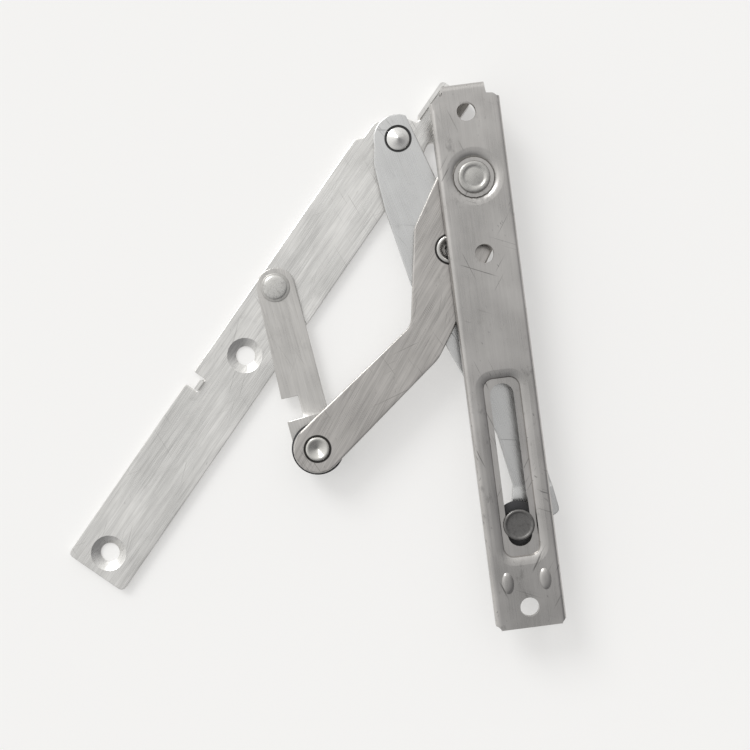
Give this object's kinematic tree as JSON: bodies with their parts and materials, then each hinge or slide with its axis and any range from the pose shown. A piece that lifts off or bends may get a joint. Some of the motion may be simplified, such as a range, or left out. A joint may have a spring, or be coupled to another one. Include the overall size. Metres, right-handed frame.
{
  "type": "friction stay hinge",
  "caption": "Scissor friction stay for a casement window: frame channel with sliding slot, sash bar and cranked arms joined by rivets.",
  "frame": {"origin": "on the frame plate's outer face, midway between its end screw holes", "axes": "+Z out of the frame plate's face, +Y along the frame plate to its end wall, +X across it, away from the sash"},
  "size_m": [0.146, 0.1611, 0.0145],
  "materials": {
    "frame_steel": "rolled satin stainless steel with scratches",
    "sash_steel": "bright brushed stainless steel",
    "arm_steel": "brushed stainless steel, rounded edges",
    "slide_arm_steel": "satin stainless steel",
    "link_steel": "satin stainless steel",
    "rivet_steel": "turned steel",
    "dark_steel": "dark turned steel",
    "polished_steel": "polished steel",
    "black_nylon": "moulded black nylon"
  },
  "bodies": {
    "frame": {"frame_plate": "frame_steel", "frame_pivot_rivet": "rivet_steel", "frame_pivot_washer": "black_nylon"},
    "bent_arm": {"bent_arm": "arm_steel", "scissor_rivet": "rivet_steel", "scissor_washer": "black_nylon", "link_arm_rivet": "rivet_steel", "link_arm_washer": "black_nylon", "link_arm_spacer": "rivet_steel"},
    "slide_arm": {"slide_arm": "slide_arm_steel", "sash_pivot_rivet": "polished_steel", "slider_rivet": "dark_steel", "slider_washer": "black_nylon", "slider_bush": "black_nylon", "slider_spacer": "rivet_steel"},
    "sash": {"sash_plate": "sash_steel", "sash_pivot_spacer": "black_nylon", "link_sash_rivet": "polished_steel", "link_sash_ring": "rivet_steel"},
    "link": {"link_arm": "link_steel"}
  },
  "joints": [
    {"name": "stay_swing", "type": "hinge", "parent": "frame", "child": "bent_arm", "pos_m": [0, 0.0528, 0], "axis": [0, 0, -1], "range_deg": [-36, 16]},
    {"name": "slide_arm_swing", "type": "hinge", "parent": "bent_arm", "child": "slide_arm", "pos_m": [-0.00905, 0.0335, 0], "axis": [0, 0, -1], "range_deg": [-21, 46]},
    {"name": "sash_swing", "type": "hinge", "parent": "slide_arm", "child": "sash", "pos_m": [-0.0199, 0.0681, 0], "axis": [0, 0, -1], "range_deg": [-52, 24]},
    {"name": "link_swing", "type": "hinge", "parent": "bent_arm", "child": "link", "pos_m": [-0.0548, -0.0192, 0], "axis": [0, 0, -1], "range_deg": [-17, 37]}
  ],
  "couplings": [
    {"joint": "slide_arm_swing", "follows": "stay_swing", "ratio": -1.243},
    {"joint": "sash_swing", "follows": "stay_swing", "ratio": 1.388},
    {"joint": "link_swing", "follows": "stay_swing", "ratio": -1.02}
  ]
}
